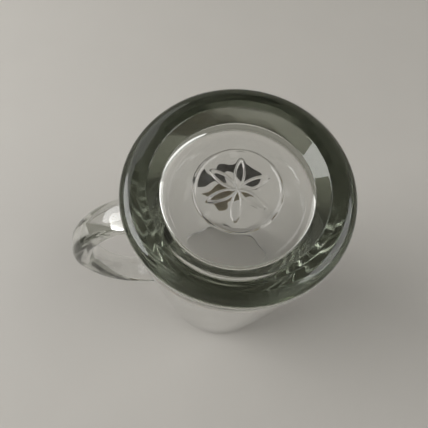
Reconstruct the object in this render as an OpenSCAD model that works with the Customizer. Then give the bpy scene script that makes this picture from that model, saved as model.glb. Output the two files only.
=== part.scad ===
// Clear glass mug with a loop handle, standing on its rim with the foot uppermost, as it drains.
// The mug's axis is Z, the rim rests on Z = 0 and the handle lies along -X.

/* [Mug] */
// Height from the rim to the foot ring
mug_h = 153.5; // [130:0.5:190]
// Outer diameter of the wall at the rim
mouth_d = 79; // [70:0.5:96]
// Outer diameter of the wall at the foot
foot_d = 70.6; // [64:0.2:86]

/* [Glass] */
// Thickness of the wall at the rim
rim_t = 4.3; // [3.2:0.1:6]
// Thickness of the wall at the foot
heel_t = 7.8; // [4.5:0.1:10]
// Thickness of the floor under the recess
floor_t = 4.7; // [3:0.1:9]
// Rounding between the floor and the wall, inside the mug
floor_round = 8; // [3:0.5:13]
// Rounding of the two edges of the rim
rim_round = 0.8; // [0.5:0.1:1.5]

/* [Foot] */
// Rounding of the heel
heel_round = 4.3; // [2:0.1:6]
// Width of the flat ring on which the mug stands
ring_w = 2; // [1.5:0.1:4]
// Rounding between the flat ring and the bevel inside it
ring_round = 2.7; // [0.5:0.1:4]
// Width of the shallow bevel between the flat ring and the recess
bevel_w = 2.1; // [1:0.1:3.5]
// Drop of that bevel
bevel_drop = 0.5; // [0.2:0.1:1.2]
// Rounding of the edge of the recess
bevel_round = 0.8; // [0.3:0.1:1.5]
// Depth of the recess in the underside
recess_depth = 4.4; // [2.5:0.1:7]
// How far the recess narrows from its edge to its floor
recess_run = 3.4; // [1:0.1:5]
// Rounding at the floor of the recess
recess_round = 0.4; // [0.3:0.1:1.5]

/* [Disc] */
// Diameter of the raised ring on the recessed disc, at its middle
disc_ring_d = 26.4; // [18:0.2:32]
// Width of the raised ring at its foot
disc_ring_w = 1; // [0.6:0.1:2]
// Height of the raised ring
disc_ring_h = 0.4; // [0.2:0.1:0.8]

/* [Handle] */
// Distance of the strap's foot end from the plane of the foot ring
foot_arm_gap = 14.8; // [12:0.2:24]
// Distance of the strap's mouth end from the rim
mouth_arm_gap = 51.3; // [30:0.5:70]
// Furthest reach of the strap's middle line from the mug's axis
handle_reach = 60.4; // [54:0.2:76]
// Distance from the rim to that furthest point
handle_crown = 98.6; // [80:0.5:115]
// Width of the strap at its foot end
foot_arm_w = 9.8; // [8:0.1:16]
// Width of the strap at its mouth end
mouth_arm_w = 13; // [8:0.1:18]
// Thickness of the strap
strap_t = 8.2; // [6:0.1:12]
// How much wider the strap is at its pads, as a share
pad_flare = 0.24; // [0:0.01:0.5]
// Distance over which the flare of a pad dies away
pad_fade = 6; // [2:0.5:12]

/* [Bends] */
// Pull of the bend at the foot end, along the arm
foot_bend_out = 11.9; // [6:0.1:18]
// Pull of the bend at the foot end, along the back of the strap
foot_bend_back = 18.8; // [10:0.1:26]
// Pull of the bend at the mouth end, along the back of the strap
mouth_bend_back = 30.1; // [16:0.1:38]
// Pull of the bend at the mouth end, along the arm
mouth_bend_out = 17.7; // [8:0.1:24]

/* [Hidden] */

// Degrees of turn for each straight step of a rounded corner
corner_step = 9;
// Sides of the strap's section, and steps along each of its two bends
strap_sides = 28;
strap_steps = 26;
// Power that squares up the strap's oval section
strap_power = 0.75;
// Depth that the ends of the strap start inside the wall, before they are cut to seat on it
pad_sink = 1.6;
$fn = 160;

mouth_r = mouth_d / 2;
foot_r = foot_d / 2;
ring_edge_r = foot_r - heel_round - ring_w;
recess_edge_r = ring_edge_r - bevel_w;
recess_floor_r = recess_edge_r - recess_run;
recess_floor_z = mug_h - recess_depth;
cavity_floor_z = recess_floor_z - floor_t;
disc_ring_r = disc_ring_d / 2;
// The raised ring's sides slope, so its top is half as wide as its foot
disc_ring_top_w = disc_ring_w / 2;
foot_arm_z = mug_h - foot_arm_gap;
mouth_arm_z = mouth_arm_gap;

// Radius of the wall at a height, outside and inside
function wall_r(z) = mouth_r + (foot_r - mouth_r) * z / mug_h;
function cavity_r(z) = wall_r(z) - rim_t - (heel_t - rim_t) * z / mug_h;

function unit(v) = v / norm(v);

// A rounded corner at b, between its neighbours a and c, as points along the arc
function corner(a, b, c, rad) =
    let (
        to_a = unit(a - b),
        to_c = unit(c - b),
        half = acos(to_a * to_c) / 2,
        middle = b + unit(to_a + to_c) * rad / sin(half),
        from = b + to_a * rad / tan(half) - middle,
        to = b + to_c * rad / tan(half) - middle,
        start = atan2(from[1], from[0]),
        turn = atan2(from[0] * to[1] - from[1] * to[0], from * to),
        steps = ceil(abs(turn) / corner_step)
    )
    [for (i = [0 : steps]) middle + rad * [cos(start + turn * i / steps), sin(start + turn * i / steps)]];

// An outline from corners given as [r, z, rounding]
function rounded(corners) =
    let (n = len(corners))
    [for (i = [0 : n - 1])
        let (
            a = corners[(i + n - 1) % n],
            b = corners[i],
            c = corners[(i + 1) % n]
        )
        each b[2] == 0
            ? [[b[0], b[1]]]
            : corner([a[0], a[1]], [b[0], b[1]], [c[0], c[1]], b[2])];

// The strap's middle line in the plane of the handle, as [distance from the axis, height]
foot_pad = [wall_r(foot_arm_z) - pad_sink, foot_arm_z];
mouth_pad = [wall_r(mouth_arm_z) - pad_sink, mouth_arm_z];
crown = [handle_reach, handle_crown];
foot_bend = [foot_pad, foot_pad + [foot_bend_out, 0], crown + [0, foot_bend_back], crown];
mouth_bend = [crown, crown - [0, mouth_bend_back], mouth_pad + [mouth_bend_out, 0], mouth_pad];

// A point on a cubic bend, and the direction of travel there
function on_bend(p, t) =
    pow(1 - t, 3) * p[0] + 3 * pow(1 - t, 2) * t * p[1] + 3 * (1 - t) * t * t * p[2] + pow(t, 3) * p[3];
function along_bend(p, t) =
    unit(pow(1 - t, 2) * (p[1] - p[0]) + 2 * (1 - t) * t * (p[2] - p[1]) + t * t * (p[3] - p[2]));

// One section of the strap: share runs from 0 at the foot end to 1 at the mouth end
function strap_section(middle, travel, share) =
    let (
        fade = exp(-norm(middle - foot_pad) / pad_fade) + exp(-norm(middle - mouth_pad) / pad_fade),
        grow = 1 + pad_flare * fade,
        half_w = grow * (foot_arm_w + (mouth_arm_w - foot_arm_w) * share) / 2,
        half_t = grow * strap_t / 2
    )
    [for (i = [0 : strap_sides - 1])
        let (
            a = 360 * i / strap_sides,
            across = half_w * sign(cos(a)) * pow(abs(cos(a)), strap_power),
            out = half_t * sign(sin(a)) * pow(abs(sin(a)), strap_power)
        )
        [-(middle[0] - travel[1] * out), across, middle[1] + travel[0] * out]];

strap_sections = [
    for (i = [0 : strap_steps - 1])
        let (t = i / strap_steps)
        strap_section(on_bend(foot_bend, t), along_bend(foot_bend, t), t / 2),
    for (i = [0 : strap_steps])
        let (t = i / strap_steps)
        strap_section(on_bend(mouth_bend, t), along_bend(mouth_bend, t), (1 + t) / 2)
];

// Outline of the glass from the axis out: disc, recess, bevel, foot ring, heel, wall, rim and cavity
body_outline = rounded([
    [0, recess_floor_z, 0],
    [disc_ring_r - disc_ring_w / 2, recess_floor_z, 0],
    [disc_ring_r - disc_ring_top_w / 2, recess_floor_z + disc_ring_h, 0],
    [disc_ring_r + disc_ring_top_w / 2, recess_floor_z + disc_ring_h, 0],
    [disc_ring_r + disc_ring_w / 2, recess_floor_z, 0],
    [recess_floor_r, recess_floor_z, recess_round],
    [recess_edge_r, mug_h - bevel_drop, bevel_round],
    [ring_edge_r, mug_h, ring_round],
    [foot_r, mug_h, heel_round],
    [mouth_r, 0, rim_round],
    [cavity_r(0), 0, rim_round],
    [cavity_r(cavity_floor_z), cavity_floor_z, floor_round],
    [0, cavity_floor_z, 0]
]);

module mug_body() {
    color("#c9d0c4", 0.4)
        rotate_extrude()
            polygon(body_outline);
}

// The strap as one loop, its two ends still inside the wall
module strap() {
    rings = len(strap_sections);
    sides = [
        for (r = [0 : rings - 2], i = [0 : strap_sides - 1])
            let (
                here = r * strap_sides + i,
                next = r * strap_sides + (i + 1) % strap_sides
            )
            each [[here, next, next + strap_sides], [here, next + strap_sides, here + strap_sides]]
    ];
    foot_end = [for (i = [strap_sides - 1 : -1 : 0]) i];
    mouth_end = [for (i = [0 : strap_sides - 1]) (rings - 1) * strap_sides + i];
    polyhedron([for (section = strap_sections) each section], concat(sides, [foot_end, mouth_end]));
}

// The strap's two ends are cut to the wall's own cone, so each pad seats on the wall
module handle() {
    color("#bcc6b8", 0.5)
        difference() {
            strap();
            cylinder(h = mug_h, r1 = mouth_r, r2 = foot_r);
        }
}

mug_body();
handle();
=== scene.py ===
import math

import bmesh
import bpy
from mathutils import Matrix, Vector


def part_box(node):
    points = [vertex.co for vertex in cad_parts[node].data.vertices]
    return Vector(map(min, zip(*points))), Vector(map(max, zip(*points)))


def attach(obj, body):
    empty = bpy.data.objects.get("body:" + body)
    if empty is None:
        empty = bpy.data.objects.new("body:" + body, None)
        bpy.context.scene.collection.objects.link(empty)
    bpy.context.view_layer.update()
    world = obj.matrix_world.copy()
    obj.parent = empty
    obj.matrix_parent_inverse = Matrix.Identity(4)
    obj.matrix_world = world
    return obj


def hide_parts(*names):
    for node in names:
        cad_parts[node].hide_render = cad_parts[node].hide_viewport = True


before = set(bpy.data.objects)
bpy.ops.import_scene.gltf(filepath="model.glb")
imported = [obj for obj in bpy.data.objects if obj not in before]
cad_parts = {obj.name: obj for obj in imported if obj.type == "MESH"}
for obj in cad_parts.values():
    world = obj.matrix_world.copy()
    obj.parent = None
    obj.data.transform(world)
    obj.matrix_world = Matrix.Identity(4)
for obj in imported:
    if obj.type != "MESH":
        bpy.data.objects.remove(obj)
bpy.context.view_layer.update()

mm = 0.001
mergeGap = 0.001 * mm  # points closer than this are one point
levelGap = 0.01 * mm   # points this close to a level lie on it
scene = bpy.context.scene


# Small helpers

def linearFromHex(code):
    values = [int(code[i:i + 2], 16) / 255 for i in (1, 3, 5)]
    return [v / 12.92 if v <= 0.04045 else ((v + 0.055) / 1.055) ** 2.4 for v in values] + [1.0]


def addNode(tree, kind, settings=None, inputs=None):
    node = tree.nodes.new(kind)
    for name, value in (settings or {}).items():
        setattr(node, name, value)
    for name, value in (inputs or {}).items():
        if isinstance(value, bpy.types.NodeSocket):
            tree.links.new(value, node.inputs[name])
        else:
            node.inputs[name].default_value = value
    return node


def newMaterial(name):
    material = bpy.data.materials.new(name)
    material.use_nodes = True
    material.node_tree.nodes.clear()
    return material, material.node_tree


def mottledColour(tree, colour, look):
    place = addNode(tree, "ShaderNodeTexCoord")
    cloud = addNode(tree, "ShaderNodeTexNoise", {}, {
        "Vector": place.outputs["Object"],
        "Scale": 1 / (look["cloudWidth"] * mm),
        "Detail": look["cloudDetail"],
    })
    darkest, palest = look["shades"]
    shade = addNode(tree, "ShaderNodeMapRange", {}, {
        "Value": cloud.outputs["Fac"], "To Min": darkest, "To Max": palest,
    })
    tone = addNode(tree, "ShaderNodeHueSaturation", {}, {
        "Color": linearFromHex(colour), "Value": shade.outputs["Result"],
    })
    return tone.outputs["Color"]


# A Mix node's colour sockets go by number, because its sockets of other kinds have the same names

def mixedColour(tree, share, first, second):
    mix = addNode(tree, "ShaderNodeMix", {"data_type": "RGBA"}, {0: share, 6: first, 7: second})
    return mix.outputs[2]


def objectFromBmesh(bm, name, materials):
    mesh = bpy.data.meshes.new(name)
    bm.to_mesh(mesh)
    bm.free()
    piece = bpy.data.objects.new(name, mesh)
    scene.collection.objects.link(piece)
    for material in materials:
        mesh.materials.append(material)
    return piece


def unit(v):
    return v / v.length


# Soda-lime glass, pressed in a mould and fire-polished: clear across the wall, grey-green down its length,
# and a little wavy, so that what lies behind it bends

glassLook = {
    "tint": "#ffffff",
    "ior": 1.52,
    "roughness": 0.035,
    "depthColour": "#c4c8be",  # what is left after depthLength of glass
    "depthLength": 80,         # mm
    "waveWidth": 14,           # mm
    "waveHeight": 0.004,       # mm
    "waveDetail": 1.0,
}


def pressedGlass(name):
    material, tree = newMaterial(name)
    place = addNode(tree, "ShaderNodeTexCoord")
    wave = addNode(tree, "ShaderNodeTexNoise", {}, {
        "Vector": place.outputs["Object"],
        "Scale": 1 / (glassLook["waveWidth"] * mm),
        "Detail": glassLook["waveDetail"],
    })
    bump = addNode(tree, "ShaderNodeBump", {}, {
        "Height": wave.outputs["Fac"],
        "Distance": glassLook["waveHeight"] * mm,
        "Strength": 1.0,
    })
    glass = addNode(tree, "ShaderNodeBsdfPrincipled", {}, {
        "Base Color": linearFromHex(glassLook["tint"]),
        "Roughness": glassLook["roughness"],
        "IOR": glassLook["ior"],
        "Transmission Weight": 1.0,
        "Normal": bump.outputs["Normal"],
    })
    left = linearFromHex(glassLook["depthColour"])
    taken = [-math.log(c) / (glassLook["depthLength"] * mm) for c in left[:3]]
    inside = addNode(tree, "ShaderNodeVolumeAbsorption", {}, {
        "Color": [1 - t / max(taken) for t in taken] + [1.0],
        "Density": max(taken),
    })
    addNode(tree, "ShaderNodeOutputMaterial", {}, {
        "Surface": glass.outputs["BSDF"],
        "Volume": inside.outputs["Volume"],
    })
    return material


# The hidden faces where handle and wall have run together: the same glass is on both sides, so they show
# nothing

def weldedGlass():
    material, tree = newMaterial("welded_glass")
    through = addNode(tree, "ShaderNodeBsdfTransparent")
    addNode(tree, "ShaderNodeOutputMaterial", {}, {"Surface": through.outputs["BSDF"]})
    return material


bodyGlass = pressedGlass("pressed_soda_glass")
handleGlass = pressedGlass("hot_formed_soda_glass")
weldGlass = weldedGlass()
glassSlots = [bodyGlass, handleGlass, weldGlass]
bodySlot, handleSlot, weldSlot = 0, 1, 2
print("materials made")


# The body, turned from its outline about the axis, in millimetres

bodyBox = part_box("mug_body")
body = {
    "height": bodyBox[1][2] / mm,
    "mouthRadius": 39.5,
    "footRadius": 35.3,
    "rimThickness": 4.3,
    "heelThickness": 7.8,
    "floorThickness": 4.7,
    "floorRound": 8.0,
    "rimRound": 0.8,
    "heelRound": 4.3,
    "ringWidth": 2.0,
    "ringRound": 2.7,
    "bevelWidth": 2.1,
    "bevelDrop": 0.5,
    "bevelRound": 0.8,
    "recessDepth": 4.4,
    "recessRun": 3.4,
    "recessRound": 0.4,
    "turnSteps": 288,
    "arcStep": 4.0,        # degrees for each step of a rounded corner
    "discStep": 0.22,      # spacing of the rings across the disc
    "floorStep": 1.0,      # spacing of the rings across the floor of the cavity
    "wallStep": 3.0,       # spacing of the rings along the wall, outside
    "cavityStep": 6.0,     # spacing of the rings along the wall, inside
    "holdStep": 0.3,       # first step beside a rounded corner, which keeps the flat beside it flat
}


def wallRadius(z):
    return body["mouthRadius"] + (body["footRadius"] - body["mouthRadius"]) * z / body["height"]


def cavityRadius(z):
    taper = body["heelThickness"] - body["rimThickness"]
    return wallRadius(z) - body["rimThickness"] - taper * z / body["height"]


def roundedCorner(a, b, c, radius):
    toA, toC = unit(a - b), unit(c - b)
    half = toA.angle(toC) / 2
    middle = b + unit(toA + toC) * radius / math.sin(half)
    start = b + toA * radius / math.tan(half) - middle
    turn = -start.angle_signed(b + toC * radius / math.tan(half) - middle)
    steps = math.ceil(abs(math.degrees(turn)) / body["arcStep"])
    return [middle + Matrix.Rotation(turn * i / steps, 2) @ start for i in range(steps + 1)]


def steppedLine(a, b, step):
    length = (b - a).length
    hold = body["holdStep"]
    if length < 4 * hold:
        return []
    count = max(1, round((length - 2 * hold) / step))
    spots = [hold + (length - 2 * hold) * i / count for i in range(count + 1)]
    return [a + (b - a) * spot / length for spot in spots]


def bodyOutline():
    recessFloorZ = body["height"] - body["recessDepth"]
    cavityFloorZ = recessFloorZ - body["floorThickness"]
    ringEdge = body["footRadius"] - body["heelRound"] - body["ringWidth"]
    recessEdge = ringEdge - body["bevelWidth"]
    # Each corner has its radius, height and rounding, and the spacing of the rings after it
    corners = [
        (0, recessFloorZ, 0, body["discStep"]),
        (recessEdge - body["recessRun"], recessFloorZ, body["recessRound"], body["wallStep"]),
        (recessEdge, body["height"] - body["bevelDrop"], body["bevelRound"], body["wallStep"]),
        (ringEdge, body["height"], body["ringRound"], body["wallStep"]),
        (body["footRadius"], body["height"], body["heelRound"], body["wallStep"]),
        (body["mouthRadius"], 0, body["rimRound"], body["wallStep"]),
        (cavityRadius(0), 0, body["rimRound"], body["cavityStep"]),
        (cavityRadius(cavityFloorZ), cavityFloorZ, body["floorRound"], body["floorStep"]),
        (0, cavityFloorZ, 0, 0),
    ]
    points = [Vector(c[:2]) for c in corners]
    outline = []
    for i, (point, corner) in enumerate(zip(points, corners)):
        if corner[2]:
            arc = roundedCorner(points[i - 1], point, points[i + 1], corner[2])
        else:
            arc = [point]
        if outline:
            outline += steppedLine(outline[-1], arc[0], corners[i - 1][3])
        outline += arc
    return outline


# Raised ornament on the recessed disc, in millimetres: a plain ring, and inside it a rosette of six arcs
# drawn through the middle

relief = {
    "ringRadius": 13.2,
    "ringWidth": 1.4,
    "ringHeight": 0.4,
    "arcs": 6,
    "arcRadius": 10.6,
    "lineWidth": 0.8,
    "lineHeight": 0.3,
    "turn": 15.0,          # degrees
}


def softEdge(distance, width):
    share = min(1.0, abs(distance) / (width / 2))
    return (1 - share * share) ** 2


def reliefHeight(spot):
    reach = relief["arcRadius"]
    height = relief["ringHeight"] * softEdge(spot.length - relief["ringRadius"], relief["ringWidth"])
    if spot.length < reach:
        turns = [math.radians(relief["turn"] + 360 * i / relief["arcs"]) for i in range(relief["arcs"])]
        hubs = [Matrix.Rotation(turn, 2) @ Vector((reach, 0)) for turn in turns]
        gap = min(abs((spot - hub).length - reach) for hub in hubs)
        fade = min(1.0, (reach - spot.length) / relief["lineWidth"])
        height += relief["lineHeight"] * softEdge(gap, relief["lineWidth"]) * fade
    return height


# The cavity's floor was never ground, so it lies in low waves. Each has its direction in degrees, and its
# length and height in millimetres. The direction's number also shifts the wave, so that they don't line up

floorWaves = [
    (12, 17.0, 0.11),
    (71, 12.5, 0.09),
    (128, 9.5, 0.09),
    (165, 7.0, 0.07),
    (35, 6.0, 0.06),
]
waveFade = 5.0  # mm over which the waves die away towards the wall


def floorWave(spot):
    height = 0
    for direction, length, rise in floorWaves:
        along = spot.x * math.cos(math.radians(direction)) + spot.y * math.sin(math.radians(direction))
        height += rise * math.sin(2 * math.pi * along / length + direction)
    return height


def turnedBody():
    bm = bmesh.new()
    outline = bodyOutline()
    verts = [bm.verts.new((p.x * mm, 0, p.y * mm)) for p in outline]
    edges = [bm.edges.new(pair) for pair in zip(verts, verts[1:])]
    bmesh.ops.spin(bm, geom=verts + edges, cent=(0, 0, 0), axis=(0, 0, 1), dvec=(0, 0, 0),
                   angle=2 * math.pi, steps=body["turnSteps"], use_merge=True, use_duplicate=False)
    bmesh.ops.remove_doubles(bm, verts=bm.verts, dist=mergeGap)
    bmesh.ops.recalc_face_normals(bm, faces=bm.faces)
    discZ = (body["height"] - body["recessDepth"]) * mm
    floorZ = discZ - body["floorThickness"] * mm
    floorReach = cavityRadius(floorZ / mm) - body["floorRound"]
    for vert in bm.verts:
        spot = vert.co.xy / mm
        if abs(vert.co.z - discZ) < levelGap and spot.length < relief["ringRadius"] + relief["ringWidth"]:
            vert.co.z += reliefHeight(spot) * mm
        if abs(vert.co.z - floorZ) < levelGap and spot.length < floorReach:
            vert.co.z += floorWave(spot) * min(1.0, (floorReach - spot.length) / waveFade) * mm
    for face in bm.faces:
        face.smooth = True
        face.material_index = bodySlot
    return objectFromBmesh(bm, "body_turned", glassSlots)


# The handle, one strap drawn along two bends, in millimetres: distance from the axis and height

strap = {
    "footArmGap": 14.8,    # from the plane of the foot ring
    "mouthArmGap": 51.3,   # from the rim
    "crown": Vector((60.4, 98.6)),
    "footPulls": (11.9, 18.8),
    "mouthPulls": (30.1, 17.7),
    "footWidth": 9.8,
    "mouthWidth": 13.0,
    "thickness": 8.2,
    "padFlare": 0.24,
    "padFade": 6.0,
    "padSink": 1.6,        # how far the ends start inside the wall
    "power": 0.75,         # squares up the oval section
    "sides": 64,
    "steps": 80,
}


def onBend(p, t):
    s = 1 - t
    return s ** 3 * p[0] + 3 * s * s * t * p[1] + 3 * s * t * t * p[2] + t ** 3 * p[3]


def alongBend(p, t):
    s = 1 - t
    return unit(s * s * (p[1] - p[0]) + 2 * s * t * (p[2] - p[1]) + t * t * (p[3] - p[2]))


def strapStations():
    heights = (body["height"] - strap["footArmGap"], strap["mouthArmGap"])
    footPad, mouthPad = [Vector((wallRadius(z) - strap["padSink"], z)) for z in heights]
    crown, along, up = strap["crown"], Vector((1, 0)), Vector((0, 1))
    bends = [
        (footPad, footPad + along * strap["footPulls"][0], crown + up * strap["footPulls"][1], crown),
        (crown, crown - up * strap["mouthPulls"][0], mouthPad + along * strap["mouthPulls"][1], mouthPad),
    ]
    for i in range(2 * strap["steps"] + 1):
        bend = bends[0] if i < strap["steps"] else bends[1]
        t = i / strap["steps"] - (0 if i < strap["steps"] else 1)
        middle = onBend(bend, t)
        fade = sum(math.exp(-(middle - pad).length / strap["padFade"]) for pad in (footPad, mouthPad))
        yield middle, alongBend(bend, t), i / (2 * strap["steps"]), 1 + strap["padFlare"] * fade


def shapeSection(verts, middle, travel, share, grow):
    halfWidth = grow * (strap["footWidth"] + (strap["mouthWidth"] - strap["footWidth"]) * share) / 2
    halfThick = grow * strap["thickness"] / 2
    for i, vert in enumerate(verts):
        angle = 2 * math.pi * i / len(verts)
        across = halfWidth * math.copysign(abs(math.cos(angle)) ** strap["power"], math.cos(angle))
        out = halfThick * math.copysign(abs(math.sin(angle)) ** strap["power"], math.sin(angle))
        place = Vector((-(middle.x - travel.y * out), across, middle.y + travel.x * out))
        vert.co = place * mm


def drawnStrap():
    bm = bmesh.new()
    ring = bmesh.ops.create_circle(bm, cap_ends=True, segments=strap["sides"], radius=mm)["verts"]
    stations = list(strapStations())
    shapeSection(ring, *stations[0])
    edges = [bm.edges.get((a, b)) for a, b in zip(ring, ring[1:] + ring[:1])]
    for station in stations[1:]:
        made = bmesh.ops.extrude_edge_only(bm, edges=edges)["geom"]
        ring = [max(v.link_edges, key=lambda e: e.other_vert(v) in made).other_vert(v) for v in ring]
        shapeSection(ring, *station)
        edges = [bm.edges.get((a, b)) for a, b in zip(ring, ring[1:] + ring[:1])]
    bmesh.ops.edgeloop_fill(bm, edges=edges)
    bmesh.ops.recalc_face_normals(bm, faces=bm.faces)
    for face in bm.faces:
        face.smooth = True
        face.material_index = handleSlot
    return objectFromBmesh(bm, "strap_drawn", glassSlots)


# Handle and body are run together as hot glass does, then parted again along the weld

def fusedMesh(bodyPiece, strapPiece):
    join = bodyPiece.modifiers.new("join", "BOOLEAN")
    join.operation = "UNION"
    join.solver = "EXACT"
    join.object = strapPiece
    graph = bpy.context.evaluated_depsgraph_get()
    return bpy.data.meshes.new_from_object(bodyPiece.evaluated_get(graph))


def partedPiece(mesh, name, keptSlot):
    bm = bmesh.new()
    bm.from_mesh(mesh)
    others = [f for f in bm.faces if f.material_index != keptSlot]
    bmesh.ops.delete(bm, geom=others, context="FACES")
    rims = [e for e in bm.edges if e.is_boundary]
    for edge in rims:
        edge.smooth = False
    for face in bmesh.ops.holes_fill(bm, edges=rims, sides=0)["faces"]:
        face.material_index = weldSlot
        face.smooth = False
    bmesh.ops.recalc_face_normals(bm, faces=bm.faces)
    return objectFromBmesh(bm, name, glassSlots)


bodyTurned, strapDrawn = turnedBody(), drawnStrap()
fused = fusedMesh(bodyTurned, strapDrawn)
mugBody = partedPiece(fused, "glass_mug_body", bodySlot)
mugHandle = partedPiece(fused, "glass_handle", handleSlot)
for helper in (bodyTurned, strapDrawn):
    bpy.data.objects.remove(helper)
print("glass", [(p.name, len(p.data.polygons)) for p in (mugBody, mugHandle)])
for piece, node, slot in ((mugBody, "mug_body", "body_glass"), (mugHandle, "handle", "handle_glass")):
    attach(piece, "root")
    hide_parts(node)


# Enamel print fired on the outside of the wall, about a quarter turn from the handle: a lozenge and a plain
# bar. From above it is seen through the foot and the far wall

emblem = {
    "turn": 79.0,          # degrees round the axis
    "coat": 0.03,          # mm of enamel
    "standOff": 0.06,      # mm from the wall to the sheet that is thickened into the coat
    "bar": {"z": (86, 100), "width": 35, "colour": "#0a0a09"},
    "lozenge": {"z": (40, 82), "width": 32, "colour": "#a3905c"},
    "steps": 40,
    "cloudWidth": 6,       # mm
    "cloudDetail": 3.0,
    "shades": (0.75, 1.25),
    "roughness": 0.35,
}


def firedEnamel(name, colour):
    material, tree = newMaterial(name)
    enamel = addNode(tree, "ShaderNodeBsdfPrincipled", {}, {
        "Base Color": mottledColour(tree, colour, emblem),
        "Roughness": emblem["roughness"],
        "Specular IOR Level": 0.0,
    })
    addNode(tree, "ShaderNodeOutputMaterial", {}, {"Surface": enamel.outputs["BSDF"]})
    return material


def wallPrint(name, spec, narrowing):
    bm = bmesh.new()
    steps = emblem["steps"]
    bmesh.ops.create_grid(bm, x_segments=steps, y_segments=steps, size=0.5)
    low, high = spec["z"]
    for vert in bm.verts:
        share = vert.co.y + 0.5
        z = low + (high - low) * share
        radius = wallRadius(z) + emblem["standOff"]
        across = vert.co.x * spec["width"] * (1 - narrowing * abs(2 * share - 1))
        angle = math.radians(emblem["turn"]) + across / radius
        vert.co = Vector((radius * math.cos(angle), radius * math.sin(angle), z)) * mm
    bmesh.ops.remove_doubles(bm, verts=bm.verts, dist=mergeGap)
    bmesh.ops.recalc_face_normals(bm, faces=bm.faces)
    bmesh.ops.solidify(bm, geom=bm.faces[:], thickness=emblem["coat"] * mm)
    bmesh.ops.recalc_face_normals(bm, faces=bm.faces)
    for face in bm.faces:
        face.smooth = True
    return objectFromBmesh(bm, name, [firedEnamel(name, spec["colour"])])


for name, key, narrowing in (("black_enamel_bar", "bar", 0.0), ("bronze_enamel_lozenge", "lozenge", 1.0)):
    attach(wallPrint(name, emblem[key], narrowing), "root")
print("print fired on")


# Table, light and camera, in metres. The table lies just under the rim, so that they don't share a plane

table = {
    "colour": "#c6c2bb",
    "radius": 0.3,
    "middle": (0.018, 0.098, -0.00005),
    "sides": 128,
    "cloudWidth": 40,      # mm
    "cloudDetail": 2.0,
    "shades": (0.98, 1.02),
    "roughness": 0.6,
}


def paleTable():
    material, tree = newMaterial("pale_laminate")
    surface = addNode(tree, "ShaderNodeBsdfPrincipled", {}, {
        "Base Color": mottledColour(tree, table["colour"], table),
        "Roughness": table["roughness"],
    })
    addNode(tree, "ShaderNodeOutputMaterial", {}, {"Surface": surface.outputs["BSDF"]})
    bm = bmesh.new()
    bmesh.ops.create_circle(bm, cap_ends=True, segments=table["sides"], radius=table["radius"])
    bmesh.ops.translate(bm, verts=bm.verts, vec=table["middle"])
    return objectFromBmesh(bm, "table", [material])


paleTable()

lamps = {
    "left_softbox": {"place": (-1.0, 0.27, 0.85), "size": 1.0, "power": 13.0},
    "back_softbox": {"place": (-0.5, 0.9, 1.0), "size": 1.0, "power": 2.5},
    "right_softbox": {"place": (0.9, -0.2, 1.0), "size": 1.0, "power": 6.0},
}


def addLamp(name, place, size, power):
    lamp = bpy.data.lights.new(name, "AREA")
    lamp.shape = "DISK"
    lamp.size = size
    lamp.energy = power
    holder = bpy.data.objects.new(name, lamp)
    holder.location = place
    holder.rotation_euler = Vector(place).to_track_quat("Z", "Y").to_euler()
    scene.collection.objects.link(holder)


for name, spec in lamps.items():
    addLamp(name, **spec)

# A plain grey room round the table, dark overhead, and a low fill for what doesn't mirror or show it

room = {
    "walls": "#86847b",
    "overhead": "#060605",
    "overheadReach": (0.5, 0.85),  # height of the line of sight, where the walls give way to it
    "fill": "#45443e",
}


def studioRoom():
    world = bpy.data.worlds.new("studio_room")
    scene.world = world
    world.use_nodes = True
    tree = world.node_tree
    tree.nodes.clear()
    place = addNode(tree, "ShaderNodeTexCoord")
    split = addNode(tree, "ShaderNodeSeparateXYZ", {}, {"Vector": place.outputs["Generated"]})
    lowest, highest = room["overheadReach"]
    above = addNode(tree, "ShaderNodeMapRange", {"interpolation_type": "SMOOTHSTEP"}, {
        "Value": split.outputs["Z"], "From Min": lowest, "From Max": highest,
    })
    walls, overhead, fill = [linearFromHex(room[key]) for key in ("walls", "overhead", "fill")]
    around = mixedColour(tree, above.outputs["Result"], walls, overhead)
    path = addNode(tree, "ShaderNodeLightPath")
    seen = addNode(tree, "ShaderNodeMath", {"operation": "MAXIMUM"}, {
        0: path.outputs["Is Camera Ray"], 1: path.outputs["Is Glossy Ray"],
    })
    shown = addNode(tree, "ShaderNodeMath", {"operation": "MAXIMUM"}, {
        0: seen.outputs["Value"], 1: path.outputs["Is Transmission Ray"],
    })
    light = mixedColour(tree, shown.outputs["Value"], fill, around)
    glow = addNode(tree, "ShaderNodeBackground", {}, {"Color": light})
    addNode(tree, "ShaderNodeOutputWorld", {}, {"Surface": glow.outputs["Background"]})


studioRoom()

# The camera stands where the photograph was taken, close above the foot

view = {
    "turn": -10.62,                          # degrees, of the photograph against the handle's plane
    "place": Vector((-6.83, -42.2, 244.1)),  # mm, before the turn
    "tilt": 19.67,                           # degrees
    "roll": 2.97,                            # degrees
    "lens": 29.02,                           # mm
    "nearest": 0.01,
}


def photoCamera():
    camera = bpy.data.cameras.new("camera")
    camera.lens = view["lens"]
    camera.clip_start = view["nearest"]
    holder = bpy.data.objects.new("camera", camera)
    turn = Matrix.Rotation(math.radians(view["turn"]), 4, "Z")
    tilt = Matrix.Rotation(math.radians(view["tilt"]), 4, "X")
    roll = Matrix.Rotation(math.radians(view["roll"]), 4, "Z")
    holder.matrix_world = turn @ Matrix.Translation(view["place"] * mm) @ tilt @ roll
    scene.collection.objects.link(holder)
    scene.camera = holder


photoCamera()
scene.view_settings.view_transform = "Standard"
bounces = 64  # light runs down the wall of the glass by many reflections
scene.cycles.max_bounces = bounces
scene.cycles.glossy_bounces = bounces
scene.cycles.transmission_bounces = bounces
print("stage set")
